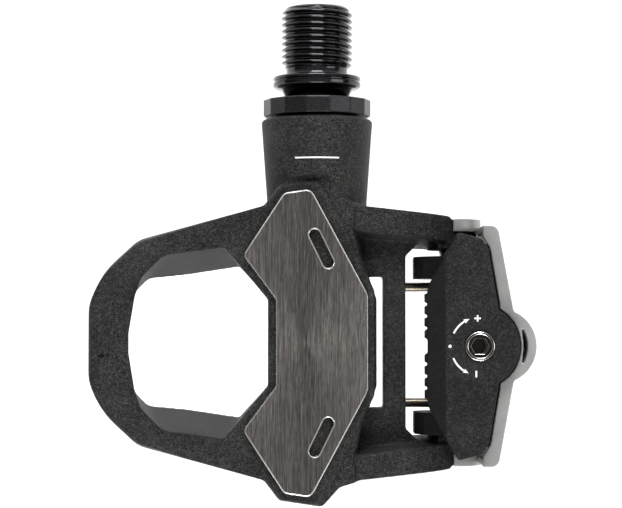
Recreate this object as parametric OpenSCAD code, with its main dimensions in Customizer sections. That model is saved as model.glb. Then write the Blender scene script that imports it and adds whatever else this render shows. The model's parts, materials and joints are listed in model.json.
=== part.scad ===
// Clipless road pedal, left side, for a large three-bolt cleat. Millimetres.
// Frame: the origin is where the spindle axis crosses the crank-side face of the spindle's flange.
// +Y runs along the threaded end towards the crank, +X towards the rear latch, +Z out of the
// contact plate. Lengths called v are measured across the pedal from the middle of the plate.

/* [Overall] */
// Width of the contact plate across the foot
plate_w = 60; // [52:0.5:72]
// From the spindle axis forward to the front of the cage
nose_reach = 44.4; // [38:0.1:53.5]
// From the flange face to the middle of the plate
mid_y = 53; // [52:0.5:62]
// From the spindle axis back to the pivot of the latch
pivot_x = 27; // [26.5:0.5:32]
// Height of the top of the contact plate above the spindle axis
plate_top = 11; // [10.6:0.1:12]

/* [Spindle] */
// Major diameter of the thread, nine sixteenths of an inch nominal
thread_d = 14.1; // [13.8:0.1:14.3]
// Length of the threaded end from the flange face
thread_len = 13.9; // [11:0.1:17]
// Size of the hex socket in the threaded end, across flats
hex_af = 8; // [6:1:8]
// Diameter of the flange
flange_d = 17.5; // [16:0.1:19]
// Radial clearance of every running fit
run = 0.05; // [0.02:0.01:0.08]

/* [Contact plate] */
// Thickness of the plate
plate_t = 1.2; // [0.8:0.1:1.6]
// Width of the two oblong slots
slot_w = 2.1; // [1.6:0.1:2.6]
// Length of the two oblong slots, end to end
slot_len = 8.1; // [6:0.1:9]

/* [Latch] */
// Height of the top of the jaw above the spindle axis
jaw_top = 17; // [16.4:0.1:19]
// Gap between the plate and the underside of the claw
claw_gap = 3.2; // [2.8:0.1:3.4]
// Number of teeth on each side of the middle of the claw
tooth_pairs = 4; // [2:1:4]
// Sideways play that the latch has taken up on its pin
latch_play = 0.6; // [0:0.1:0.7]
// Diameter of the pivot pin
pin_d = 5; // [4:0.5:5]
// Diameter of the spring wire
wire_d = 1.9; // [1.5:0.1:1.9]
// Size of the hex socket in the tension screw, across flats
screw_af = 3; // [2.5:0.5:3]

/* [Hidden] */

black = [0.10, 0.10, 0.11];
steel = [0.62, 0.62, 0.64];
dark_steel = [0.20, 0.20, 0.21];
shell_grey = [0.66, 0.67, 0.68];
bronze = [0.55, 0.47, 0.36];
rubber = [0.06, 0.06, 0.06];

big = 80;
round_n = 96;
kv = plate_w / 60;
kf = nose_reach / 44.4;
kr = pivot_x / 27;
plate_under = plate_top - plate_t;
rim_step = 1.0;
pivot_z = -2;
screw_x = pivot_x + 4.1;
claw_under = plate_top + claw_gap;

// journals and bearings, along Y; tail_y is the closed outboard end of the barrel
tail_y = -mid_y - 26.5 * kv;
neck_y = -8.6;
nut_end_y = -16;
needle_near_y = -18;
needle_far_y = -33;
bore_r = 8;
needle_cup_r = 7.5;
needle_r = 1;
needle_n = 12;
journal_r = needle_cup_r - 2 * needle_r - run;
needle_pitch_r = journal_r + needle_r + run / 2;
race_w = 5;
race_out_r = 6.5;
race_bore_r = 3;
ball_r = 1.1;
ball_n = 8;
ball_pitch_r = 4.75;
race_b_y = tail_y + 11;
race_a_y = race_b_y + race_w + 0.2;
race_in_y = race_a_y + race_w;
bore_step_y = race_in_y + 2.2;
seal_r = 5.9;

function place(x, v) = [x < 0 ? x * kf : x * kr, v * kv];
function latch_pt(x, v) = [x - 27 + pivot_x, v * kv];
function place_all(p) = [for (q = p) place(q[0], q[1])];
function latch_all(p) = [for (q = p) latch_pt(q[0], q[1])];
function both(p) = concat(p, [for (i = [len(p) - 1:-1:0]) [p[i][0], -p[i][1]]]);
function both_up(p) = concat(p, [for (i = [len(p) - 1:-1:0]) [-p[i][0], p[i][1]]]);
function twice(r) = concat(r, [for (i = [len(r) - 1:-1:0]) r[i]]);
function unit(a) = a / norm(a);
function turn(a) = (a + 1080) % 360;
// Points of a round corner of radius r at b, between the sides to a and to c
function corner(a, b, c, r, n) =
  let (u = unit(a - b), w = unit(c - b))
  let (half = acos(max(-1, min(1, u * w))) / 2)
  let (m = unit(u + w), o = b + m * r / sin(half))
  let (s = b + u * r / tan(half), e = b + w * r / tan(half))
  let (a0 = atan2(s[1] - o[1], s[0] - o[0]), a1 = atan2(e[1] - o[1], e[0] - o[0]))
  let (sweep = turn(a1 - a0 + 180) - 180)
  [for (k = [0:n]) o + r * [cos(a0 + sweep * k / n), sin(a0 + sweep * k / n)]];
function smooth(p, r, n = 4) = [for (i = [0:len(p) - 1]) each
  (r[i] < 0.05 ? [p[i]] : corner(p[(i + len(p) - 1) % len(p)], p[i], p[(i + 1) % len(p)], r[i], n))];

// Cylinder along Y from y0 to y1
module rod(r, y0, y1) {
  translate([0, y0, 0]) rotate([-90, 0, 0]) cylinder(r = r, h = y1 - y0, $fn = round_n);
}
module tube(r_out, r_in, y0, y1) {
  difference() {
    rod(r_out, y0, y1);
    rod(r_in, y0 - 1, y1 + 1);
  }
}
// Turned shape from [radius, y] points
module turned(p) {
  rotate([-90, 0, 0]) rotate_extrude($fn = round_n) polygon(p);
}
// Side profile of [x, z] points, extruded along Y from y0 to y1
module side(p, y0, y1) {
  translate([0, y1, 0]) rotate([90, 0, 0]) linear_extrude(height = y1 - y0) polygon(p);
}
module slab(p, z0, z1) {
  translate([0, 0, z0]) linear_extrude(height = z1 - z0) polygon(p);
}
module at_mid() {
  translate([0, -mid_y, 0]) children();
}
module at_latch() {
  translate([0, -mid_y - latch_play, 0]) children();
}
module two_sides() {
  children();
  mirror([0, 1, 0]) children();
}
module at_pivot() {
  translate([pivot_x, 0, pivot_z]) children();
}

// ---- spindle group ----
module spindle() {
  rim_r = flange_d / 2;
  color(dark_steel) difference() {
    turned([[0, race_b_y - 6], [race_bore_r, race_b_y - 6], [race_bore_r, race_in_y],
      [4.6, race_in_y], [4.6, needle_far_y - 3], [journal_r, needle_far_y - 1.5],
      [journal_r, nut_end_y], [seal_r, nut_end_y + 1.5], [seal_r, -4.3], [6.3, -4],
      [7.1, -2.5], [8, -2.4], [rim_r, -2], [rim_r, -1.25], [rim_r - 0.35, -1.05],
      [rim_r - 0.35, -0.85], [rim_r, -0.65], [rim_r, -0.3], [rim_r - 0.3, 0], [thread_d / 2, 0],
      [thread_d / 2, thread_len - 1], [thread_d / 2 - 1, thread_len], [0, thread_len]]);
    translate([0, thread_len - 9, 0]) rotate([-90, 0, 0])
      cylinder(r = hex_af / 2 / cos(30), h = 12, $fn = 6);
  }
}
module inner_race(y0) {
  difference() {
    tube(4.05, race_bore_r, y0, y0 + race_w);
    translate([0, y0 + race_w / 2, 0]) ball_track();
  }
}
module ball_track() {
  rotate([-90, 0, 0]) rotate_extrude($fn = round_n) translate([ball_pitch_r, 0])
    circle(r = ball_r + run, $fn = 48);
}
module inner_races() {
  color(steel) {
    inner_race(race_a_y);
    inner_race(race_b_y);
  }
}
module spindle_washer() {
  color(steel) tube(4.6, race_bore_r, race_b_y - 0.8, race_b_y);
}
module lock_nut() {
  color(steel) difference() {
    translate([0, race_b_y - 4.4, 0]) rotate([-90, 0, 0])
      cylinder(r = 8 / 2 / cos(30), h = 3.6, $fn = 6);
    rod(race_bore_r, race_b_y - 6, race_b_y);
  }
}

// ---- body shell ----
module barrel() {
  difference() {
    barrel_round();
    // flat that lets the rim of the plate's seat stand clear of the neck
    at_mid() slab(smooth(place_all([[-10, 29.4], [-8.2, 31.7], [1.6, 33.1], [3.2, 31.9], [8, 25],
      [-10, 20]]), [0, 1, 1, 1, 0, 0]), plate_under - 0.9, plate_top + 4);
  }
}
module barrel_round() {
  turned([[0, tail_y], [7.6, tail_y], [8.5, tail_y + 0.9], [9.95, -25.2], [11.08, neck_y - 0.5],
    [10.58, neck_y], [0, neck_y]]);
}
// The front loop's outer wall leans in towards the top
module loop_crown() {
  low = smooth(place_all(both([[-44.4, 7.2], [-42.1, 13.4], [-34.9, 20.05], [-10.4, 26.75],
    [-4, 27.9]])), twice([8, 15, 6, 0, 0]), 6);
  high = smooth(place_all(both([[-43.8, 7.2], [-41.3, 12.7], [-34.4, 18.9], [-10.2, 25.9],
    [-4, 27.1]])), twice([8, 14, 6, 0, 0]), 6);
  hull() {
    slab(low, -9, 9);
    slab(high, 16.6, 17);
  }
}
module front_loop() {
  intersection() {
    loop_crown();
    // level across the nose, sloping down towards the arms
    translate([-big, 0, 0]) rotate([90, 0, 90]) linear_extrude(height = 2 * big)
      polygon(both_up([[-40 * kv, -20], [-40 * kv, plate_under - 2.4], [-20.5 * kv, 13.2],
        [-9.3 * kv, 16.1]]));
    side([place(-4, 0) + [0, plate_under - rim_step], place(-12, 0) + [0, plate_under - 0.5],
      place(-14.9, 0) + [0, plate_under - 0.15], place(-18, 0) + [0, plate_under + 0.3], place(-26, 0) + [0, 12.2], place(-32, 0) + [0, 14.4],
      place(-36, 0) + [0, 15.7], place(-38.5, 0) + [0, 16], place(-41.9, 0) + [0, 15.8],
      place(-43.5, 0) + [0, 15], place(-45, 0) + [0, 12.6], place(-45, 0) + [0, 6.8],
      place(-43, 0) + [0, 4.2], place(-37, 0) + [0, 1.2], place(-26, 0) + [0, -3.4],
      place(-14, 0) + [0, -6.2], place(-4, 0) + [0, -6.6]], -big, big);
  }
}
// Everything the cage window takes out: wide at the top, narrower underneath
module cage_window() {
  top = smooth(place_all(both([[-36.2, 0.01], [-34.7, 9.0], [-33.3, 13.1], [-29.4, 17.2],
    [-18.7, 19.5], [-9.6, 8.4]])), twice([0, 3, 3, 6, 0.8, 0.8]), 5);
  low = smooth(place_all(both([[-38.0, 4], [-37.2, 9.3], [-15.0, 14.25], [-9.6, 8.4]])),
    twice([2, 1.5, 0.5, 0.8]));
  hull() {
    slab(top, 14, 18);
    slab(low, -10, -6);
  }
}
module nose_pocket() {
  side([place(-41, 0) + [0, 5.6], place(-40.6, 0) + [0, 10.6], place(-39.4, 0) + [0, 12],
    place(-33, 0) + [0, 12.4], place(-33, 0) + [0, 3.5], place(-38, 0) + [0, 3.4]],
    -7.6 * kv, 7.6 * kv);
}
module deck() {
  outline = place_all(both([[-20, 24.1], [-10.4, 26.8], [-7.4, 30.7], [1.0, 31.95],
    [4.4, 28.2], [8.0, 27.15], [7.6, 21.8], [8.7, 17.0], [10.4, 12.3], [11.7, 8.5]]));
  slab(smooth(outline, twice([0, 1.5, 1.2, 1.2, 1.5, 0, 0, 0, 0.5, 0.5])),
    -1, plate_under - rim_step - 1.8);
  middle = place_all(both([[-20, 24.1], [-10.4, 26.8], [-7.4, 30.7], [1.0, 31.95],
    [4.4, 28.2], [7.6, 27.2], [7.1, 21.8], [8.4, 17.0], [10.2, 12.3], [11.5, 8.5]]));
  slab(smooth(middle, twice([0, 1.5, 1.2, 1.2, 1.5, 0, 0, 0, 0.5, 0.5])),
    0, plate_under - rim_step);
  rim = place_all(both([[-7.3, 30.5], [0.1, 31.6], [3.0, 27.5], [7.0, 18.6], [11.2, 10.2],
    [11.2, 9.2]]));
  front = place_all([[-9.3, -8.6], [-15.8, -17.1], [-14, -21]]);
  front_up = place_all([[-14, 21], [-15.8, 17.1], [-9.3, 8.6]]);
  slab(smooth(concat(front, [for (i = [len(rim) - 1:-1:0]) rim[i]], front_up),
    concat([0.3, 0.8, 0], twice([1.5, 1.5, 0, 0, 0.5, 0]), [0, 0.8, 0.3])), 1, plate_under);
}
lug_in_v = 13.2 * kv;
lug_out_v = 17.6 * kv;
boss_in_v = lug_out_v + latch_play + 0.15;
boss_out_v = 21.9 * kv;
arm_out_v = 24.5 * kv;
cap_r = 5.9;
module rear_arm() {
  boss_r = 5;
  in_v = boss_in_v;
  out_v = boss_out_v;
  intersection() {
    hull() {
      slab(place_all([[3, 27.5], [26.4, 25.0], [26.4, 18.4], [3, 19.6]]), -8, -7);
      slab(place_all([[3, 27.5], [26.4, 25.0], [26.4, 20.3], [3, 22.7]]), 7.6, 8.6);
    }
    side([place(3, 0) + [0, 8.6], place(7.6, 0) + [0, 7.6], place(18, 0) + [0, 6.6],
      place(22.5, 0) + [0, 5.9], place(25, 0) + [0, 4.6], place(27, 0) + [0, 2.8],
      place(27, 0) + [0, -6.9], place(16, 0) + [0, -6.6], place(3, 0) + [0, -6.4]], 0, big);
  }
  at_pivot() rod(boss_r, in_v, out_v);
  side([[pivot_x - 3.1 * kr, 4.6], [pivot_x, 3], [pivot_x, -7], [pivot_x - 3.1 * kr, -6.8]],
    in_v, arm_out_v);
  side([[pivot_x - 1, 2.9], [pivot_x + 3.2, 1.6], [pivot_x + 4.4, -0.2], [pivot_x + 4.4, -3.6],
    [pivot_x, -6.9], [pivot_x - 1, -6.9]], in_v, out_v);
}
module low_frame() {
  // corner webs between the crossbar and the arms
  for (s = [-1, 1]) slab(place_all([[17, s * 21.5], [17, s * 16.7], [17.6, s * 17.1],
    [20.4, s * 19.9], [20.4, s * 21.5]]), bar_under, 2.4);
  difference() {
    slab(place_all(both([[5, 23], [17.6, 22.6]])), bar_under, 2.4);
    translate([0, 0, -10]) linear_extrude(height = 30) difference() {
      polygon(place_all(both([[9.6, 13.05], [13.2, 13.05]])));
      polygon(place_all(both([[8.7, 17], [10.4, 12.3], [11.7, 8.5]])));
    }
  }
}
module bottom_web() {
  side([[-13, -6], [-10, -7], [9, -7], [10.2, -5.6], [10.2, 1], [-13, 2]], -22 * kv, 22 * kv);
}
module body_solid() {
  barrel();
  at_mid() {
    front_loop();
    deck();
    two_sides() rear_arm();
    low_frame();
    intersection() {
      bottom_web();
      slab(place_all(both([[-20, 18], [-16, 22], [10.2, 22]])), -10, 5);
    }
  }
}
module stud_places() {
  for (s = [-1, 1]) translate([-11.2 * kf, s * 17 * kv, 0]) children();
}
module body_shell() {
  color(black) difference() {
    body_solid();
    rod(8.2, nut_end_y, neck_y + 1);
    rod(bore_r, bore_step_y, nut_end_y + 1);
    rod(race_out_r, race_b_y, bore_step_y + 1);
    rod(5.6, tail_y + 2, race_b_y + 1);
    at_mid() {
      // seat of the contact plate, flat right across the barrel
      slab(place_all(both([[-8.2, 8.5], [-14.75, 17], [-6.5, 29.5], [-1.05, 30.25], [10.2, 9.2]])),
        plate_under, plate_top + 2);
      cage_window();
      nose_pocket();
      at_pivot() rod(pin_d / 2, -pin_end_v, pin_end_v);
      stud_places() {
        translate([0, 0, -20]) cylinder(r = 1.4, h = 40, $fn = round_n);
        translate([0, 0, -20]) cylinder(r = 3.1, h = 24.4, $fn = round_n);
      }
      // shallow mark on the nose: an oblong groove round a small blind hole
      translate([-41.3 * kf, 0.4, 15.4]) difference() {
        slab(smooth(both([[-1.3, 3.9], [1.3, 3.9]]), [1.2, 1.2, 1.2, 1.2]), 0, 1);
        slab(smooth(both([[-0.8, 3.4], [0.8, 3.4]]), [0.7, 0.7, 0.7, 0.7]), -1, 2);
      }
      translate([-41.3 * kf, -2.4, 15]) cylinder(r = 0.5, h = 2, $fn = round_n);
    }
  }
}

// ---- fixed parts of the pedal body ----
plate_pts = [[-6.4, 29.2], [-1.2, 29.95], [10.0, 9.15], [10.0, -9.15], [-1.2, -29.95],
  [-6.4, -29.2], [-14.45, -16.95], [-8.05, -8.4], [-8.05, 8.4], [-14.45, 16.95]];
slot_x = 0.85;
slot_v = 18.3;
slot_lean = 26;
module contact_plate() {
  color(steel) at_mid() {
    difference() {
      slab(smooth(place_all(plate_pts), [1.6, 1.6, 1, 1, 1.6, 1.6, 1.2, 1, 1, 1.2]),
        plate_under, plate_top);
      two_sides() translate([slot_x, slot_v * kv, 0]) rotate([0, 0, slot_lean]) {
        half = (slot_len - slot_w) / 2;
        for (e = [-1, 1]) translate([0, e * half, 0])
          cylinder(r = slot_w / 2, h = 30, $fn = round_n);
        translate([-slot_w / 2, -half, 0]) cube([slot_w, 2 * half, 30]);
      }
    }
    stud_places() translate([0, 0, 1.6]) cylinder(r = 1.25, h = plate_under - 1.4, $fn = round_n);
  }
}
module plate_nuts() {
  color(steel) at_mid() stud_places() translate([0, 0, 2]) difference() {
    cylinder(r = 5 / 2 / cos(30), h = 2.4, $fn = 6);
    translate([0, 0, -1]) cylinder(r = 1.25 + run, h = 6, $fn = round_n);
  }
}
nut_flats = 15;
nut_corner_r = 10.75;
module cartridge_nut() {
  color(dark_steel) difference() {
    union() {
      translate([0, -8, 0]) rotate([-90, 0, 0]) linear_extrude(height = 3.3)
        polygon([for (i = [0:nut_flats - 1])
          nut_corner_r * [cos(90 + 10.7 + i * 360 / nut_flats), -sin(90 + 10.7 + i * 360 / nut_flats)]]);
      rod(8.2, nut_end_y, -7.9);
    }
    rod(7.2, -8.8, 0);
    rod(6.4, -30, 0);
  }
}
module lip_seal() {
  color(rubber) tube(7.2, seal_r + run, -8.6, -5.1);
}
module needle_cup() {
  color(steel) tube(bore_r, needle_cup_r, needle_far_y, needle_near_y);
}
module spacer_tube() {
  color(steel) difference() {
    union() {
      rod(bore_r - 0.1, bore_step_y + 0.1, needle_far_y - 0.1);
      rod(race_out_r - 0.05, race_in_y, bore_step_y + 1);
    }
    rod(5.7, -big - 40, 0);
  }
}
module outer_races() {
  color(steel) for (y0 = [race_a_y, race_b_y]) difference() {
    tube(race_out_r, 5.5, y0, y0 + race_w);
    translate([0, y0 + race_w / 2, 0]) ball_track();
  }
}
module bearing_shields() {
  color(steel) for (y0 = [race_a_y, race_b_y]) {
    tube(5.5, 4.15, y0 + 0.2, y0 + 0.5);
    tube(5.5, 4.15, y0 + race_w - 0.5, y0 + race_w - 0.2);
  }
}
pin_end_v = 23.2 * kv;
module pivot_pin() {
  color(steel) at_mid() at_pivot() rod(pin_d / 2, -pin_end_v, pin_end_v);
}
// Grey end caps over the arm ends, pressed on the pin
module arm_caps() {
  color(shell_grey) at_mid() two_sides() at_pivot() difference() {
    rod(cap_r, boss_out_v, arm_out_v);
    rod(pin_d / 2, boss_out_v - 1, pin_end_v);
    translate([-2 * cap_r, 0, -cap_r - 1]) cube([2 * cap_r, big, 2 * cap_r + 2]);
  }
}

// ---- rolling sets ----
module needle_rollers() {
  color(steel) for (i = [0:needle_n - 1]) rotate([0, i * 360 / needle_n, 0])
    translate([needle_pitch_r, 0, 0]) rod(needle_r, needle_far_y + 1.6, needle_near_y - 1.6);
}
module needle_cage() {
  color(bronze) difference() {
    tube(7.0, 5.9, needle_far_y + 0.3, needle_near_y - 0.3);
    for (i = [0:needle_n - 1]) rotate([0, i * 360 / needle_n, 0])
      translate([needle_pitch_r, 0, 0])
        rod(needle_r + run, needle_far_y + 1.5, needle_near_y - 1.5);
  }
}
module balls(y0) {
  for (i = [0:ball_n - 1]) rotate([0, i * 360 / ball_n, 0])
    translate([ball_pitch_r, y0 + race_w / 2, 0]) sphere(r = ball_r, $fn = 48);
}
module ball_cage(y0) {
  difference() {
    tube(5.15, 4.35, y0 + 0.9, y0 + race_w - 0.9);
    for (i = [0:ball_n - 1]) rotate([0, i * 360 / ball_n, 0])
      translate([3, y0 + race_w / 2, 0]) rotate([0, 90, 0])
        cylinder(r = ball_r + run, h = 4, $fn = 48);
  }
}
module balls_a() {
  color(steel) balls(race_a_y);
}
module ball_cage_a() {
  color(bronze) ball_cage(race_a_y);
}
module balls_b() {
  color(steel) balls(race_b_y);
}
module ball_cage_b() {
  color(bronze) ball_cage(race_b_y);
}

// ---- spring ----
coil_r = 3.8;
bar_under = pivot_z - coil_r + wire_d / 2 + 0.05;
coil_pitch = wire_d - 0.1;
coil_first_v = 11.7 * kv;
coil_last_v = coil_first_v - 3 * coil_pitch;
bridge_x = pivot_x + 7;
module torsion_spring() {
  wire_r = wire_d / 2;
  color(bronze) at_latch() {
    two_sides() {
      at_pivot() rotate([-90, 0, 0]) rotate_extrude($fn = round_n) union() {
        for (i = [0:3]) translate([coil_r, coil_first_v - i * coil_pitch])
          circle(r = wire_r, $fn = 24);
      }
      translate([14.4 * kr, coil_first_v, pivot_z - coil_r]) rotate([0, 90, 0])
        cylinder(r = wire_r - 0.04, h = pivot_x - 14.4 * kr, $fn = 32);
      translate([pivot_x, coil_last_v, pivot_z + coil_r]) rotate([0, 90, 0])
        cylinder(r = wire_r - 0.04, h = bridge_x - pivot_x, $fn = 32);
    }
    translate([bridge_x, 0, pivot_z + coil_r])
      rod(wire_r, -coil_last_v - wire_r, coil_last_v + wire_r);
  }
}

// ---- latch ----
jaw_block_z = 10.5;
jaw_ledge_z = 12.4;
lobe_r = 7.8;
insert_r = 2.8;
screw_r = 2.2;
module jaw_top_shape() {
  jaw = latch_all(both([[21.2, 10.9], [21.5, 12.0], [27.0, 21.8], [31.6, 20.6], [32.8, 18.6],
    [34.7, 7.3]]));
  slab(smooth(jaw, twice([0.3, 0.3, 0.3, 0.8, 1.5, 0])), jaw_block_z, jaw_top + 1);
  translate([screw_x, 0, jaw_block_z]) cylinder(r = lobe_r, h = 9, $fn = round_n);
}
module latch_jaw() {
  color(black) at_latch() difference() {
    union() {
      intersection() {
        jaw_top_shape();
        side([[pivot_x - 5.8, claw_under], [pivot_x - 5.8, claw_under + 1.4],
          [pivot_x - 2.4, jaw_top], [pivot_x + 9, jaw_top], [pivot_x + 12, jaw_top - 0.9],
          [pivot_x + 12, jaw_block_z], [pivot_x - 2, jaw_block_z], [pivot_x - 2, claw_under]],
          -big, big);
      }
      // ledge that carries the shell
      slab(latch_all(both([[25.6, 19.2], [33.2, 19.6], [35.9, 8.2]])), jaw_block_z, jaw_ledge_z);
      translate([screw_x, 0, jaw_block_z])
        cylinder(r = lobe_r + 0.6, h = jaw_ledge_z - jaw_block_z, $fn = round_n);
      two_sides() {
        side([[pivot_x - 7.7, -4], [pivot_x - 7.7, 1.6], [pivot_x - 6, 4.4],
          [pivot_x - 2.4, 7.4], [pivot_x - 1, jaw_block_z + 0.5], [pivot_x + 6, jaw_block_z + 0.5],
          [pivot_x + 6, 0], [pivot_x + 3, -6.6], [pivot_x - 3, -6.6], [pivot_x - 6, -5.6]],
          lug_in_v, lug_out_v);
        // guides beside the spring seat
        translate([pivot_x + 3, 5.1, 4.6]) cube([5, 1.6, jaw_block_z - 4]);
      }
      // teeth under the front edge
      for (s = [-1, 1]) for (i = [1:tooth_pairs])
        translate([pivot_x - 6.4, s * i * 2.3 * kv - 0.85 * kv, claw_under])
          cube([2.4, 1.7 * kv, 1.1]);
    }
    two_sides() at_pivot() rod(pin_d / 2 + 1, lug_in_v - 1, lug_out_v + 1);
    translate([screw_x, 0, 0]) cylinder(r = insert_r, h = 30, $fn = round_n);
  }
}
shell_v = 23.3 * kv;
module shell_block(t) {
  // outer skin for t = 0, hollow for t = wall thickness
  intersection() {
    union() {
      slab(smooth(both([[pivot_x - t, shell_v - t], [pivot_x + 7.8 - t, shell_v - t],
        [pivot_x + 10.8 - t, 7 * kv]]), twice([0, 1.8, 0])), -12, 20);
      translate([pivot_x + 7.95, 0, -12]) cylinder(r = 7.3 - t, h = 40, $fn = round_n);
    }
    side([[pivot_x - t, 14.4 - t], [pivot_x + 20, 14.4 - t], [pivot_x + 20, 6],
      [pivot_x + 15.5 - t, 1], [pivot_x + 10.4 - t, -5], [pivot_x + 5.8 - t / 2, -9.6 + t],
      [pivot_x - t, -9.6 + t]], -big, big);
  }
}
module latch_shell() {
  wall = 1.6;
  color(shell_grey) at_latch() difference() {
    shell_block(0);
    shell_block(wall);
    // the front is open; the ears stop short of the arms
    side([[0, -20], [0, 30], [pivot_x + 4.9, 30], [pivot_x + 4.9, -20]], -big, big);
    at_pivot() rod(cap_r + 0.25, -big, big);
    // opening in the top for the jaw
    slab(latch_all(both([[20, 30], [27.0, 22.3], [31.9, 21.0], [33.3, 18.9], [35.2, 7.6]])),
      jaw_ledge_z, 30);
    translate([screw_x, 0, jaw_ledge_z]) cylinder(r = lobe_r + 0.35, h = 30, $fn = round_n);
    slab(latch_all(both([[20, 19.7], [33.6, 19.9], [36.3, 8.6]])), jaw_block_z - 0.2,
      jaw_ledge_z);
    translate([screw_x, 0, jaw_block_z])
      cylinder(r = lobe_r + 0.9, h = jaw_ledge_z - jaw_block_z, $fn = round_n);
    // crescent slit over the indicator flag
    intersection() {
      translate([screw_x + 2.5, 0, 8]) cylinder(r = 6.9, h = 20, $fn = round_n);
      difference() {
        translate([screw_x, -5, 8]) cube([12, 10, 20]);
        translate([screw_x - 8.5, 0, 7]) cylinder(r = 17.05, h = 22, $fn = round_n);
      }
    }
  }
}
module pivot_bushings() {
  color(bronze) at_latch() two_sides() at_pivot()
    tube(pin_d / 2 + 1, pin_d / 2 + run, lug_in_v, lug_out_v);
}
module screw_insert() {
  color(steel) at_latch() translate([screw_x, 0, jaw_block_z - 0.6]) difference() {
    cylinder(r = insert_r, h = jaw_top + 0.3 - jaw_block_z + 0.6, $fn = round_n);
    translate([0, 0, -1]) cylinder(r = screw_r + run, h = 20, $fn = round_n);
  }
}

// ---- tension adjuster ----
seat_z = pivot_z + coil_r + wire_d / 2 + 0.03;
seat_top_z = seat_z + 3.8;
module spring_seat() {
  color(bronze) at_latch() difference() {
    union() {
      translate([pivot_x + 1.6, -4.9, seat_z]) cube([7.4, 9.8, seat_top_z - seat_z]);
      translate([pivot_x + 8, -1.5, seat_z + 1.2]) cube([4.6, 3, 1.8]);
      intersection() {
        translate([screw_x, 0, seat_z + 1.2]) difference() {
          cylinder(r = 9.2, h = 4, $fn = round_n);
          translate([0, 0, -1]) cylinder(r = 8.3, h = 8, $fn = round_n);
        }
        translate([screw_x + 5, -3, seat_z]) cube([8, 6, 12]);
      }
    }
    translate([screw_x, 0, seat_top_z - 2]) cylinder(r = screw_r + run, h = 9, $fn = round_n);
  }
}
module tension_screw() {
  color(steel) at_latch() translate([screw_x, 0, seat_top_z - 2]) difference() {
    cylinder(r = screw_r, h = jaw_top - 0.3 - seat_top_z + 2, $fn = round_n);
    translate([0, 0, jaw_top - 0.3 - seat_top_z + 2 - 3.4])
      cylinder(r = screw_af / 2 / cos(30), h = 6, $fn = 6);
  }
}

spindle();
inner_races();
spindle_washer();
lock_nut();
body_shell();
contact_plate();
plate_nuts();
cartridge_nut();
lip_seal();
needle_cup();
spacer_tube();
outer_races();
bearing_shields();
pivot_pin();
arm_caps();
torsion_spring();
needle_rollers();
needle_cage();
balls_a();
ball_cage_a();
balls_b();
ball_cage_b();
latch_jaw();
latch_shell();
pivot_bushings();
screw_insert();
spring_seat();
tension_screw();
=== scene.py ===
import bpy, bmesh, json, math
from mathutils import Matrix, Vector
from mathutils.bvhtree import BVHTree


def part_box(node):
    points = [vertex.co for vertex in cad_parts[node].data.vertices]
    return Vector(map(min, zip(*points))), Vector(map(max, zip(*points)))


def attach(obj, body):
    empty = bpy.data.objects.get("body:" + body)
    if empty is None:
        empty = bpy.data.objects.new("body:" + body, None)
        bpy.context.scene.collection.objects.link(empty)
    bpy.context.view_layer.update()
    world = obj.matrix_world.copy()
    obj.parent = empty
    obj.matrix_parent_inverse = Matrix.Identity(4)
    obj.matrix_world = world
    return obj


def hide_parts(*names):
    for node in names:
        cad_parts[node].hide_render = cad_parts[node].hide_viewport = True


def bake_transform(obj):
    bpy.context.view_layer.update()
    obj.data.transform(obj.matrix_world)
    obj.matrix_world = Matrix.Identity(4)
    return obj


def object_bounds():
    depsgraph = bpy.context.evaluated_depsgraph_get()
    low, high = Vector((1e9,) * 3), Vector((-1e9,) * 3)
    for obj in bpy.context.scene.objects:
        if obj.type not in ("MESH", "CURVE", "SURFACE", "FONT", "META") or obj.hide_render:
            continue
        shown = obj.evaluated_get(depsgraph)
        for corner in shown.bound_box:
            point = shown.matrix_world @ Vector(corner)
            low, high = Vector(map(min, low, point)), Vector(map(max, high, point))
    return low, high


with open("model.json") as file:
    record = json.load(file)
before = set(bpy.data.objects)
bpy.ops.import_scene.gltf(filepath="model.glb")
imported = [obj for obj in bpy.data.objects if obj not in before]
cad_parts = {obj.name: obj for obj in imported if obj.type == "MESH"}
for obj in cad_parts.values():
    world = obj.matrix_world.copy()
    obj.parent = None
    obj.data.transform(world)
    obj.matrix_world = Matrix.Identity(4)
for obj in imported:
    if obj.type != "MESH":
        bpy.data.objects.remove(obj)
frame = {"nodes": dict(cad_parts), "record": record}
cad_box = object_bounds()
nodes = frame["nodes"]
MM = 0.001
WELD = 2e-6  # metres: vertices closer than this are one
scene = bpy.context.scene


def box_mm(node):
    """Lowest and highest corner of a CAD node, in millimetres."""
    lo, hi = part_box(node)
    return lo / MM, hi / MM


# ---------------------------------------------------------------- materials
def new_material(name):
    m = bpy.data.materials.new(name)
    m.use_nodes = True
    t = m.node_tree
    b = t.nodes.get("Principled BSDF")
    return m, t, b


def link(t, a, b):
    t.links.new(a, b)


def noise(t, coord, scale, detail=2.0, rough=0.5, stretch=None):
    n = t.nodes.new("ShaderNodeTexNoise")
    n.inputs["Scale"].default_value = scale
    n.inputs["Detail"].default_value = detail
    n.inputs["Roughness"].default_value = rough
    if stretch:
        mp = t.nodes.new("ShaderNodeMapping")
        mp.inputs["Scale"].default_value = stretch
        link(t, coord, mp.inputs["Vector"])
        coord = mp.outputs["Vector"]
    link(t, coord, n.inputs["Vector"])
    return n.outputs["Fac"]


def ramp(t, fac, stops):
    """Colour ramp through (position, grey level or colour) stops."""
    r = t.nodes.new("ShaderNodeValToRGB")
    e = r.color_ramp.elements
    while len(e) < len(stops):
        e.new(0.5)
    for el, (p, c) in zip(e, stops):
        el.position = p
        el.color = (c, c, c, 1) if isinstance(c, (int, float)) else (*c, 1)
    link(t, fac, r.inputs["Fac"])
    return r.outputs["Color"]


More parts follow.
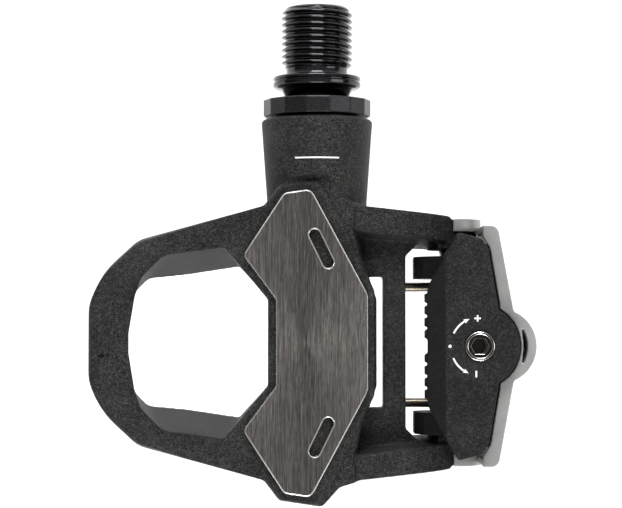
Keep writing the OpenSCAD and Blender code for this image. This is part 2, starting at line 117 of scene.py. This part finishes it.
def spread(t, fac, lo, hi, a, b):
    """Maps lo..hi to a..b, clamped."""
    r = t.nodes.new("ShaderNodeMapRange")
    r.inputs["From Min"].default_value = lo
    r.inputs["From Max"].default_value = hi
    r.inputs["To Min"].default_value = a
    r.inputs["To Max"].default_value = b
    link(t, fac, r.inputs["Value"])
    return r.outputs["Result"]


def maths(t, op, a, b):
    m = t.nodes.new("ShaderNodeMath")
    m.operation = op
    for i, v in enumerate((a, b)):
        if isinstance(v, (int, float)):
            m.inputs[i].default_value = v
        else:
            link(t, v, m.inputs[i])
    return m.outputs["Value"]


def blend_rgb(t, fac, a, b, kind="MIX"):
    m = t.nodes.new("ShaderNodeMix")
    m.data_type = "RGBA"
    m.blend_type = kind
    if isinstance(fac, (int, float)):
        m.inputs[0].default_value = fac
    else:
        link(t, fac, m.inputs[0])
    for i, v in ((6, a), (7, b)):
        if isinstance(v, tuple):
            m.inputs[i].default_value = (*v, 1)
        else:
            link(t, v, m.inputs[i])
    return m.outputs[2]


def bump(t, b, height, distance, strength=1.0):
    n = t.nodes.new("ShaderNodeBump")
    n.inputs["Distance"].default_value = distance
    n.inputs["Strength"].default_value = strength
    link(t, height, n.inputs["Height"])
    link(t, n.outputs["Normal"], b.inputs["Normal"])


def object_coord(t):
    return t.nodes.new("ShaderNodeTexCoord").outputs["Object"]


def composite(name, dark, light, rough=0.52, grain=1.0, painted_front_shade=False):
    """Fibre-filled black moulding: spark-eroded grain, tiny pits and faint flow clouds, optionally with
    painted shade on faces turned towards -X.
    """
    m, t, b = new_material(name)
    co = object_coord(t)
    fine = noise(t, co, 4600, 2.0, 0.7)
    mid = noise(t, co, 1500, 2.0, 0.6)
    cloud = noise(t, co, 130, 3.0, 0.5)
    fibre = noise(t, co, 900, 2.0, 0.5, (0.35, 1.6, 1.0))
    grain_mix = maths(t, "ADD", maths(t, "MULTIPLY", fine, 0.75), maths(t, "MULTIPLY", mid, 0.25))
    tone = maths(t, "ADD", maths(t, "MULTIPLY", grain_mix, 0.88), maths(t, "MULTIPLY", cloud, 0.12))
    middle = tuple(x * 0.3 for x in light)
    col = ramp(t, tone, [(0.42, dark), (0.51, middle), (0.62, light)])
    if painted_front_shade:  # painted shade: faces turned towards -X, the front ramp, are mixed towards the dark colour so they look darker than the top
        sep_n = t.nodes.new("ShaderNodeSeparateXYZ")
        link(t, t.nodes.new("ShaderNodeTexCoord").outputs["Normal"], sep_n.inputs[0])
        front = spread(t, sep_n.outputs["X"], -0.36, -0.1, 0.8, 0.0)
        col = blend_rgb(t, front, col, dark)
    link(t, col, b.inputs["Base Color"])
    link(t, spread(t, grain_mix, 0.38, 0.62, rough - 0.12, rough + 0.14), b.inputs["Roughness"])
    height = maths(t, "ADD", grain_mix, maths(t, "MULTIPLY", fibre, 0.25))
    bump(t, b, height, 0.00016 * grain, 1.0)
    b.inputs["Specular IOR Level"].default_value = 0.11
    return m


def metal(name, colour, rough, scale, stretch, depth, vary):
    """Bare or blackened metal: fine lines of finish over faint clouds. depth is the bump in metres."""
    m, t, b = new_material(name)
    co = object_coord(t)
    line = noise(t, co, scale, 3.0, 0.6, stretch)
    cloud = noise(t, co, 160, 2.0, 0.5)
    lo = tuple(c * (1 - vary) for c in colour)
    hi = tuple(min(1, c * (1 + vary)) for c in colour)
    col = ramp(t, line, [(0.32, lo), (0.68, hi)])
    col = blend_rgb(t, spread(t, cloud, 0.35, 0.65, 0.0, 0.35), col, tuple(c * 0.8 for c in colour))
    link(t, col, b.inputs["Base Color"])
    link(t, spread(t, line, 0.3, 0.7, rough * 0.8, rough * 1.25), b.inputs["Roughness"])
    b.inputs["Metallic"].default_value = 1.0
    bump(t, b, line, depth, 0.7)
    return m


def brushed_plate(name):
    """Stainless sheet, brushed across the pedal: long fine scratches over a cloudy ground."""
    m, t, b = new_material(name)
    co = object_coord(t)
    long_lines = noise(t, co, 1.0, 3.0, 0.6, (6400, 140, 600))
    short_lines = noise(t, co, 1.0, 2.0, 0.6, (5200, 520, 600))
    patches = noise(t, co, 70, 2.0, 0.5, (1.6, 0.5, 1))
    lines = maths(t, "ADD", maths(t, "MULTIPLY", long_lines, 0.6), maths(t, "MULTIPLY", short_lines, 0.4))
    dark, middle, light = (0.072, 0.067, 0.063), (0.125, 0.117, 0.110), (0.20, 0.188, 0.178)
    col = ramp(t, lines, [(0.36, dark), (0.5, middle), (0.64, light)])
    col = blend_rgb(t, spread(t, patches, 0.35, 0.65, 0.0, 0.2), col, (0.14, 0.130, 0.123))
    link(t, col, b.inputs["Base Color"])
    b.inputs["Metallic"].default_value = 1.0
    link(t, spread(t, lines, 0.3, 0.7, 0.4, 0.55), b.inputs["Roughness"])
    b.inputs["Anisotropic"].default_value = 0.3
    bump(t, b, lines, 0.000012, 0.7)
    return m


def shell_paint():
    """Satin grey paint with fine flecks and a little orange peel."""
    m, t, b = new_material("satin_grey")
    co = object_coord(t)
    fleck = noise(t, co, 5200, 2.0, 0.6)
    cloud = noise(t, co, 150, 3.0, 0.5)
    peel = noise(t, co, 900, 2.0, 0.5)
    tone = maths(t, "ADD", maths(t, "MULTIPLY", fleck, 0.45), maths(t, "MULTIPLY", cloud, 0.55))
    col = ramp(t, tone, [(0.35, (0.25, 0.246, 0.243)), (0.65, (0.37, 0.366, 0.36))])
    link(t, col, b.inputs["Base Color"])
    b.inputs["Metallic"].default_value = 0.35
    link(t, spread(t, fleck, 0.3, 0.7, 0.3, 0.42), b.inputs["Roughness"])
    bump(t, b, maths(t, "ADD", maths(t, "MULTIPLY", fleck, 0.5), peel), 0.00001, 0.6)
    return m


def rubber():
    """Matt black seal rubber."""
    m, t, b = new_material("seal_rubber")
    co = object_coord(t)
    n = noise(t, co, 2600, 2.0, 0.6)
    link(t, ramp(t, n, [(0.35, 0.012), (0.65, 0.028)]), b.inputs["Base Color"])
    link(t, spread(t, n, 0.3, 0.7, 0.55, 0.75), b.inputs["Roughness"])
    bump(t, b, n, 0.00001, 0.5)
    return m


def white_ink():
    """Printed white marks, worn a little uneven."""
    m, t, b = new_material("white_ink")
    co = object_coord(t)
    n = noise(t, co, 3800, 2.0, 0.6)
    link(t, ramp(t, n, [(0.3, 0.62), (0.6, 0.86)]), b.inputs["Base Color"])
    link(t, spread(t, n, 0.3, 0.7, 0.45, 0.6), b.inputs["Roughness"])
    bump(t, b, n, 0.00001, 0.5)
    return m


MAT = {
    "body": composite("moulded_black", (0.004, 0.004, 0.004), (0.064, 0.063, 0.0615)),
    # the latch jaw carries painted shade on its front ramp
    "jaw": composite("moulded_latch", (0.007, 0.007, 0.0073), (0.045, 0.045, 0.0455), 0.5, 0.5, True),
    "plate": brushed_plate("brushed_stainless"),
    # the plate's bevels: lower roughness for the smoother edge, and a near-white colour as painted highlight
    # along the edges
    "edge": metal("edge_painted_highlight", (0.97, 0.96, 0.94), 0.22, 900, (1, 1, 1), 0.000003, 0.05),
    "spindle": metal("black_oxide", (0.060, 0.060, 0.064), 0.13, 1100, (1, 2, 1), 0.000003, 0.2),
    "nut": metal("dark_nut", (0.052, 0.052, 0.055), 0.34, 1900, (1, 3, 1), 0.00001, 0.35),
    "shell": shell_paint(),
    "rubber": rubber(),
    "ink": white_ink(),
    "wire": metal("spring_wire", (0.17, 0.145, 0.115), 0.26, 2500, (0.3, 1, 1), 0.000008, 0.3),
    "steel": metal("ground_steel", (0.55, 0.55, 0.56), 0.24, 1600, (1, 5, 1), 0.000006, 0.15),
    "screw": metal("turned_screw", (0.045, 0.043, 0.040), 0.3, 1800, (1, 1, 5), 0.000006, 0.3),
    # bevels of the screw and its insert: metal far brighter than the dark screw face, painted highlight rings
    "bright": metal("lip_painted_highlight", (0.75, 0.72, 0.66), 0.2, 1500, (1, 1, 1), 0.000004, 0.15),
    "brass": metal("cage_brass", (0.68, 0.48, 0.22), 0.3, 1500, (1, 1, 1), 0.000006, 0.15),
}


# ---------------------------------------------------------------- mesh helpers
def add_object(name, mesh, mat, body):
    o = bpy.data.objects.new(name, mesh)
    scene.collection.objects.link(o)
    o.data.materials.clear()
    o.data.materials.append(mat)
    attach(o, body)
    return o


def mesh_from(name, verts, faces, smooth=True):
    me = bpy.data.meshes.new(name)
    me.from_pydata([tuple(c * MM for c in v) for v in verts], [], faces)
    me.update()
    for p in me.polygons:
        p.use_smooth = smooth
    return me


def face_outward(me):
    bm = bmesh.new()
    bm.from_mesh(me)
    bmesh.ops.recalc_face_normals(bm, faces=bm.faces)
    bm.to_mesh(me)
    bm.free()


def bake_modifiers(o, name):
    bpy.context.view_layer.update()
    dg = bpy.context.evaluated_depsgraph_get()
    me = bpy.data.meshes.new_from_object(o.evaluated_get(dg))
    me.name = name
    return me


def moulded(node, name, body, mat, voxel, rounds, keep):
    """A cast-looking copy of a CAD node: remeshed finely and relaxed, so every edge gets a small radius.
    voxel is in millimetres, rounds of relaxing come next, and keep is the share of faces left."""
    tmp = bpy.data.objects.new(name + "_tmp", nodes[node].data.copy())
    scene.collection.objects.link(tmp)
    bm = bmesh.new()
    bm.from_mesh(tmp.data)
    bmesh.ops.remove_doubles(bm, verts=bm.verts, dist=WELD)
    bmesh.ops.recalc_face_normals(bm, faces=bm.faces)
    bm.to_mesh(tmp.data)
    bm.free()
    remesh = tmp.modifiers.new("remesh", "REMESH")
    remesh.mode = "VOXEL"
    remesh.voxel_size = voxel * MM
    remesh.adaptivity = 0.0
    remesh.use_smooth_shade = True
    relax = tmp.modifiers.new("relax", "SMOOTH")
    relax.factor = 0.5
    relax.iterations = rounds
    thin_out = tmp.modifiers.new("thin_out", "DECIMATE")
    thin_out.ratio = keep
    me = bake_modifiers(tmp, name)
    bpy.data.objects.remove(tmp)
    for p in me.polygons:
        p.use_smooth = True
    o = add_object(name, me, mat, body)
    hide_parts(node)


def soften(node, mat, width, segments, angle=32, edge_mat=None):
    """Keeps a CAD node's own mesh, breaks its edges by width mm and gives it its material."""
    o = nodes[node]
    paint(node, mat)
    if edge_mat:
        o.data.materials.append(edge_mat)
    w = o.modifiers.new("weld", "WELD")
    w.merge_threshold = WELD
    d = o.modifiers.new("flat", "DECIMATE")
    d.decimate_type = "DISSOLVE"
    d.angle_limit = math.radians(1.0)
    b = o.modifiers.new("bevel", "BEVEL")
    b.width = width * MM
    b.segments = segments
    b.limit_method = "ANGLE"
    b.angle_limit = math.radians(angle)
    b.harden_normals = False
    # the bevel faces take edge_mat; on the plate and the screws that is a brighter metal, painted highlight
    # on the edges
    if edge_mat:
        b.material = 1
    for p in o.data.polygons:
        p.material_index = 0


def paint(node, mat):
    nodes[node].data.materials.clear()
    nodes[node].data.materials.append(mat)


def smooth_by_angle(me, deg=35):
    bm = bmesh.new()
    bm.from_mesh(me)
    for e in bm.edges:
        e.smooth = len(e.link_faces) == 2 and e.calc_face_angle(0) < math.radians(deg)
    for f in bm.faces:
        f.smooth = True
    bm.to_mesh(me)
    bm.free()


# ---------------------------------------------------------------- spindle
def build_spindle():
    """The spindle turned in one piece, with a true left-hand helix. Rings run from the crank end inwards."""
    lo, hi = box_mm("spindle")
    _, races_hi = box_mm("inner_races")
    mounts = {m["name"]: m for m in frame["record"]["mounts"]}
    r_thread = mounts["spindle_thread"]["dims"]["r_mm"]
    flange_r = (hi.x - lo.x) / 2
    tip = hi.y
    pitch = 25.4 / 20  # 20 threads to the inch
    depth = 0.62 * pitch
    relief_end, runout_end = 1.65, 2.5
    step = 0.075  # between rings along the thread
    socket_af, socket_deep = 8.0, 9
    n = 192
    rings = []

    def thread_radius(theta, y):
        p = ((y + pitch * theta / (2 * math.pi)) / pitch) % 1.0
        d = abs(p - 0.5) * 2
        f = 0.5 - 0.5 * math.cos(math.pi * min(1.0, max(0.0, (d - 0.06) / 0.88)))
        return r_thread - depth * (1 - f)

    def add_ring(y, radius_at):
        ring = []
        for i in range(n):
            a = 2 * math.pi * i / n
            r = radius_at(a)
            ring.append((r * math.sin(a), y, r * math.cos(a)))
        rings.append(ring)

    def plain(r, y):
        add_ring(y, lambda a: r)

    def hexed(y, grow=0.0):
        def radius_at(a):
            off = ((math.degrees(a) + 30) % 60) - 30
            return socket_af / 2 / math.cos(math.radians(off)) + grow
        add_ring(y, radius_at)

    def threaded(y):
        def radius_at(a):
            r = min(thread_radius(a, y), r_thread - 1.05 + (tip - y) * 0.9)
            if y < runout_end:  # run-out into the relief
                r = min(r, 6.15 + (y - relief_end) * 1.1)
            return r
        add_ring(y, radius_at)

    # crank end: socket floor, socket wall, chamfers, then the thread
    hexed(tip - socket_deep)
    hexed(tip - 0.5)
    hexed(tip - 0.3, 0.12)
    plain(4.95, tip - 0.02)
    plain(5.2, tip)
    plain(r_thread - 1.15, tip)
    y = tip - 0.12
    while y > relief_end:
        threaded(y)
        y -= step
    relief = [(6.12, 1.6), (6.1, 1.5), (6.1, 0.7), (6.2, 0.4), (6.45, 0.16), (6.8, 0.06), (7.3, 0.0)]
    flange = [(0.45, 0.0), (0.2, -0.05), (0.05, -0.18), (0, -0.3), (0, -0.62), (0.08, -0.72),
              (0.33, -0.84), (0.35, -0.95), (0.33, -1.06),  # the groove between its two tiers
              (0.08, -1.18), (0, -1.28), (0, -1.85), (0.06, -2.0), (0.3, -2.2)]
    neck = [(8.0, -2.42), (7.3, -2.46), (7.12, -2.56), (6.35, -3.95), (6.2, -4.1), (5.92, -4.32), (5.9, -4.5)]
    journals = [(5.9, -14.5), (5.45, -16.0), (5.45, -34.5), (4.6, -36.0), (4.6, races_hi.y + 0.02)]
    nut_end = [(3.0, races_hi.y), (3.0, lo.y + 0.6), (2.5, lo.y)]
    flange = [(flange_r - inward, yy) for inward, yy in flange]
    for r, yy in relief + flange + neck + journals + nut_end:
        plain(r, yy)
    verts = [v for ring in rings for v in ring]
    faces = []
    for k in range(len(rings) - 1):
        a, b = k * n, (k + 1) * n
        for i in range(n):
            j = (i + 1) % n
            faces.append((a + i, a + j, b + j, b + i))
    faces.append(tuple(range(n)))
    last = (len(rings) - 1) * n
    faces.append(tuple(last + i for i in reversed(range(n))))
    me = mesh_from("spindle_turned", verts, faces)
    face_outward(me)
    smooth_by_angle(me, 38)
    o = add_object("spindle_turned", me, MAT["spindle"], "axle")
    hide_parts("spindle")


build_spindle()

# ---------------------------------------------------------------- mouldings
moulded("body_shell", "body_moulding", "pedal_body", MAT["body"], 0.22, 7, 0.6)
moulded("latch_jaw", "jaw_moulding", "latch", MAT["jaw"], 0.2, 6, 0.7)
moulded("latch_shell", "shell_cover", "latch", MAT["shell"], 0.2, 6, 0.7)


# ---------------------------------------------------------------- spring
def tube_mesh(name, path, r, n=20):
    """A round wire of radius r along path, closed at both ends, in millimetres."""
    pts = [Vector(p) for p in path]
    verts, faces = [], []
    normal = None
    for k, p in enumerate(pts):
        d = (pts[min(k + 1, len(pts) - 1)] - pts[max(k - 1, 0)]).normalized()
        if normal is None:
            normal = d.orthogonal().normalized()
        normal = (normal - d * normal.dot(d)).normalized()
        side = d.cross(normal)
        for i in range(n):
            a = 2 * math.pi * i / n
            verts.append(tuple(p + (normal * math.cos(a) + side * math.sin(a)) * r))
    for k in range(len(pts) - 1):
        for i in range(n):
            j = (i + 1) % n
            faces.append((k * n + i, k * n + j, (k + 1) * n + j, (k + 1) * n + i))
    faces.append(tuple(reversed(range(n))))
    faces.append(tuple((len(pts) - 1) * n + i for i in range(n)))
    return mesh_from(name, verts, faces)


def build_spring():
    lo, hi = box_mm("torsion_spring")
    pin_lo, pin_hi = box_mm("pivot_pin")
    px, pz = (pin_lo.x + pin_hi.x) / 2, (pin_lo.z + pin_hi.z) / 2
    mid = (lo.y + hi.y) / 2
    wire = 0.95  # radius
    coil_r = (hi.z - lo.z) / 2 - wire
    v_out = (hi.y - lo.y) / 2 - wire
    pitch = 1.8
    v_in = v_out - 3 * pitch
    turns, turn_steps = 3.5, 40
    loop_x = hi.x - wire
    foot_x = lo.x + 0.4

    def half(sign):
        """A front leg and its coil, from the bottom round to the top, winding inwards."""
        path = [(lo.x, v_out, pz - coil_r), (foot_x, v_out, pz - coil_r)]
        steps = 6
        for k in range(1, steps + 1):
            path.append((foot_x + (px - foot_x) * k / steps, v_out, pz - coil_r))
        m = int(turns * turn_steps)
        for k in range(1, m + 1):
            a = -math.pi / 2 + 2 * math.pi * turns * k / m
            v = v_out + (v_in - v_out) * k / m
            path.append((px + coil_r * math.cos(a), v, pz + coil_r * math.sin(a)))
        return [(x, mid + sign * v, z) for x, v, z in path]

    # the top of each coil runs back to a loop under the spring seat: the coils sit on the pin, and the two
    # coils and the loop are built as separate pieces
    top_z = pz + coil_r
    bend = 1.6
    split_x = (px + loop_x - wire) / 2

    def at(x):
        return (x * MM, mid * MM, pz * MM)

    def wire_piece(name, path):
        me = tube_mesh(name, path, wire)
        smooth_by_angle(me, 50)
        o = bpy.data.objects.new(name, me)
        scene.collection.objects.link(o)
        o.data.materials.append(MAT["wire"])
        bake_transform(o)
        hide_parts("torsion_spring")

    for sign, name in ((1, "torsion_coil_outer"), (-1, "torsion_coil_inner")):
        leg = [(px + (split_x - px) * k / 8, mid + sign * v_in, top_z) for k in range(1, 9)]
        wire_piece(name, half(sign) + leg)
    left = [(split_x + (loop_x - bend - split_x) * k / 6, mid + v_in, top_z) for k in range(7)]
    for k in range(1, 7):
        a = math.pi / 2 * k / 6
        left.append((loop_x - bend + bend * math.sin(a), mid + v_in - bend + bend * math.cos(a), top_z))
    across = [(loop_x, mid + (v_in - bend) * (1 - 2 * k / 8), top_z) for k in range(1, 8)]
    right = [(x, 2 * mid - y, z) for x, y, z in reversed(left)]
    wire_piece("torsion_loop", left + across + right)


build_spring()

# ---------------------------------------------------------------- carried-over CAD nodes
# the plate's bevels get the near-white steel: painted highlight along the edges
soften("contact_plate", MAT["plate"], 0.5, 3, 40, MAT["edge"])
soften("cartridge_nut", MAT["nut"], 0.25, 3, 15)
# the bevels of the insert and the screw get the bright metal: painted highlight rings
soften("screw_insert", MAT["screw"], 0.13, 2, 32, MAT["bright"])
soften("tension_screw", MAT["screw"], 0.12, 2, 32, MAT["bright"])
soften("arm_caps", MAT["shell"], 0.45, 3)
soften("lip_seal", MAT["rubber"], 0.3, 2)
for part in ("lock_nut", "spindle_washer", "plate_nuts", "pivot_pin"):
    soften(part, MAT["steel"], 0.2, 2)
for part in ("inner_races", "outer_races", "needle_cup", "spacer_tube", "bearing_shields", "needle_rollers",
             "balls_a", "balls_b"):
    paint(part, MAT["steel"])
for part in ("needle_cage", "ball_cage_a", "ball_cage_b", "pivot_bushings"):
    paint(part, MAT["brass"])
soften("spring_seat", MAT["screw"], 0.25, 2)


# ---------------------------------------------------------------- white marks on the jaw
def flat_mark(name, outline, z, thick=0.06):
    """A thin printed plate with that outline and its top at z."""
    n = len(outline)
    verts = [(x, y, z - thick) for x, y in outline] + [(x, y, z) for x, y in outline]
    faces = [tuple(reversed(range(n))), tuple(range(n, 2 * n))]
    faces += [(i, (i + 1) % n, n + (i + 1) % n, n + i) for i in range(n)]
    me = mesh_from(name, verts, faces, False)
    face_outward(me)
    return me


def jaw_marks():
    """Plus, minus, dot and two arrows round the tension screw."""
    lo, hi = box_mm("tension_screw")
    cx, cy = (lo.x + hi.x) / 2, (lo.y + hi.y) / 2
    top = box_mm("latch_jaw")[1].z + 0.02
    arc_r, line_w = 5.6, 0.34

    def at(r, deg):
        return (cx + r * math.cos(math.radians(deg)), cy + r * math.sin(math.radians(deg)))

    def put(name, outline):
        add_object(name, flat_mark(name, outline, top), MAT["ink"], "latch")

    def arc(name, a0, a1):
        steps = 18
        outer = [at(arc_r + line_w / 2, a0 + (a1 - a0) * k / steps) for k in range(steps + 1)]
        inner = [at(arc_r - line_w / 2, a0 + (a1 - a0) * k / steps) for k in range(steps + 1)]
        put(name, outer + inner[::-1])

    def head(name, a, way, half_w=0.42, length_deg=11):
        put(name, [at(arc_r + half_w, a), at(arc_r - half_w, a), at(arc_r, a + way * length_deg)])

    arc("mark_arc_more", 154, 121)
    head("mark_head_more", 122, -1)
    arc("mark_arc_less", 204, 237)
    head("mark_head_less", 236, 1)
    dot_x, dot_r, dot_n = at(5.75, 180)[0], 0.3, 24
    angles = [2 * math.pi * k / dot_n for k in range(dot_n)]
    put("mark_dot", [(dot_x + dot_r * math.cos(a), cy + dot_r * math.sin(a)) for a in angles])
    px, py = at(5.35, 95)
    a, b = 0.62, 0.16  # half length and half width of the plus
    corners = [(-b, -a), (b, -a), (b, -b), (a, -b), (a, b), (b, b),
               (b, a), (-b, a), (-b, b), (-a, b), (-a, -b), (-b, -b)]
    put("mark_plus", [(px + x, py + y) for x, y in corners])
    px, py = at(5.35, 262)
    a, b = 0.62, 0.17
    put("mark_minus", [(px - b, py - a), (px + b, py - a), (px + b, py + a), (px - b, py + a)])


jaw_marks()


# ---------------------------------------------------------------- marks that follow the moulding
body_mesh = bpy.data.objects["body_moulding"].data
body_tree = BVHTree.FromPolygons(
    [v.co for v in body_mesh.vertices], [tuple(p.vertices) for p in body_mesh.polygons])


def top_of_body(x, y):
    """Height of the moulding at x, y, by a ray from above."""
    hit = body_tree.ray_cast(Vector((x * MM, y * MM, 100 * MM)), Vector((0, 0, -1)))
    return hit[0].z / MM


def neck_rule(name, y0, y1, half_x, lift=0.03, sunk=0.12):
    """Plain printed rule that follows the round of the neck."""
    steps = 24
    verts, faces = [], []
    for k in range(steps + 1):
        x = -half_x + 2 * half_x * k / steps
        for y in (y0, y1):
            z = top_of_body(x, y)
            verts += [(x, y, z - sunk), (x, y, z + lift)]
    for k in range(steps):
        a, b = 4 * k, 4 * k + 4
        faces += [(a + 1, b + 1, b + 3, a + 3), (a, a + 2, b + 2, b)]
        faces += [(a, b, b + 1, a + 1), (a + 2, a + 3, b + 3, b + 2)]
    last = 4 * steps
    faces += [(0, 1, 3, 2), (last, last + 2, last + 3, last + 1)]
    me = mesh_from(name, verts, faces)
    face_outward(me)
    smooth_by_angle(me, 40)
    add_object(name, me, MAT["ink"], "pedal_body")


def nose_outline(name, r=0.17):
    """Raised oblong outline of the mould insert on the nose."""
    lo = box_mm("body_shell")[0]
    plate_lo, plate_hi = box_mm("contact_plate")
    cx, cy = lo.x + 3.05, (plate_lo.y + plate_hi.y) / 2 + 0.4
    end_r, half_straight, sunk, steps = 1.05, 2.55, 0.06, 32
    path = []
    for k in range(steps + 1):
        a = 2 * math.pi * k / steps
        y = cy + end_r * math.sin(a) + (half_straight if math.sin(a) >= 0 else -half_straight)
        x = cx + end_r * math.cos(a)
        path.append((x, y, top_of_body(x, y) - sunk))
    me = tube_mesh(name, path, r, 10)
    smooth_by_angle(me, 60)
    add_object(name, me, MAT["body"], "pedal_body")


neck_rule("neck_rule", -17.05, -16.75, 4.3)
nose_outline("mould_mark")

# ---------------------------------------------------------------- floor, light, camera
def build_floor():
    """A plain pale floor, well below the pedal."""
    half = 3.0
    z = cad_box[0][2] - 0.05
    me = bpy.data.meshes.new("floor")
    corners = [(-half, -half, z), (half, -half, z), (half, half, z), (-half, half, z)]
    me.from_pydata(corners, [], [(0, 1, 2, 3)])
    floor = bpy.data.objects.new("floor", me)
    scene.collection.objects.link(floor)
    m, _, b = new_material("pale_floor")
    b.inputs["Base Color"].default_value = (0.92, 0.92, 0.92, 1)
    b.inputs["Roughness"].default_value = 0.8
    me.materials.append(m)


def build_world():
    """Bright round the horizon towards +Y and -Y, dim towards +X and -X, and in between overhead."""
    world = bpy.data.worlds.new("studio")
    scene.world = world
    world.use_nodes = True
    t = world.node_tree
    background = t.nodes["Background"]
    xyz = t.nodes.new("ShaderNodeSeparateXYZ")
    link(t, t.nodes.new("ShaderNodeTexCoord").outputs["Generated"], xyz.inputs[0])
    across = t.nodes.new("ShaderNodeMath")
    across.operation = "ABSOLUTE"
    link(t, xyz.outputs["Y"], across.inputs[0])
    horizon = ramp(t, across.outputs["Value"], [(0.15, 0.1), (0.75, 1.0)])
    height = ramp(t, xyz.outputs["Z"], [(0.45, 0.0), (0.95, 1.0)])
    link(t, blend_rgb(t, height, horizon, (0.38, 0.38, 0.38)), background.inputs["Color"])
    background.inputs["Strength"].default_value = 0.9


def area(name, loc, size, power):
    """A soft box at loc, turned towards the middle of the pedal."""
    light = bpy.data.lights.new(name, "AREA")
    light.shape = "RECTANGLE"
    light.size, light.size_y = size
    light.energy = power
    o = bpy.data.objects.new(name, light)
    scene.collection.objects.link(o)
    o.location = loc
    towards = Vector((0, -0.045, 0)) - Vector(loc)
    o.rotation_euler = towards.to_track_quat("-Z", "Y").to_euler()


def build_camera():
    """Almost straight down on the contact plate, from 390 mm above the spindle's axis."""
    data = bpy.data.cameras.new("camera")
    data.lens = 113.0
    data.sensor_width = 36.0
    data.sensor_fit = "HORIZONTAL"
    data.clip_start = 0.01
    data.clip_end = 20
    o = bpy.data.objects.new("camera", data)
    scene.collection.objects.link(o)
    loc = Vector((-1.18 * MM, -48.55 * MM, 390 * MM))
    aim = Vector((-1.18 * MM, -35.4 * MM, 0))
    forward = (aim - loc).normalized()
    right = forward.cross(Vector((0, 1, 0))).normalized()
    up = right.cross(forward)
    turn = Matrix((right, up, -forward)).transposed().to_4x4()
    o.matrix_world = Matrix.Translation(loc) @ turn
    scene.camera = o


build_floor()
build_world()
area("back_box", (0.0, 0.62, 0.42), (0.42, 0.5), 7.0)
area("front_box", (0.0, -0.72, 0.42), (0.42, 0.5), 7.0)
area("right_soft", (0.7, -0.05, 0.5), (0.3, 0.5), 1.1)
build_camera()
scene.view_settings.view_transform = "Standard"
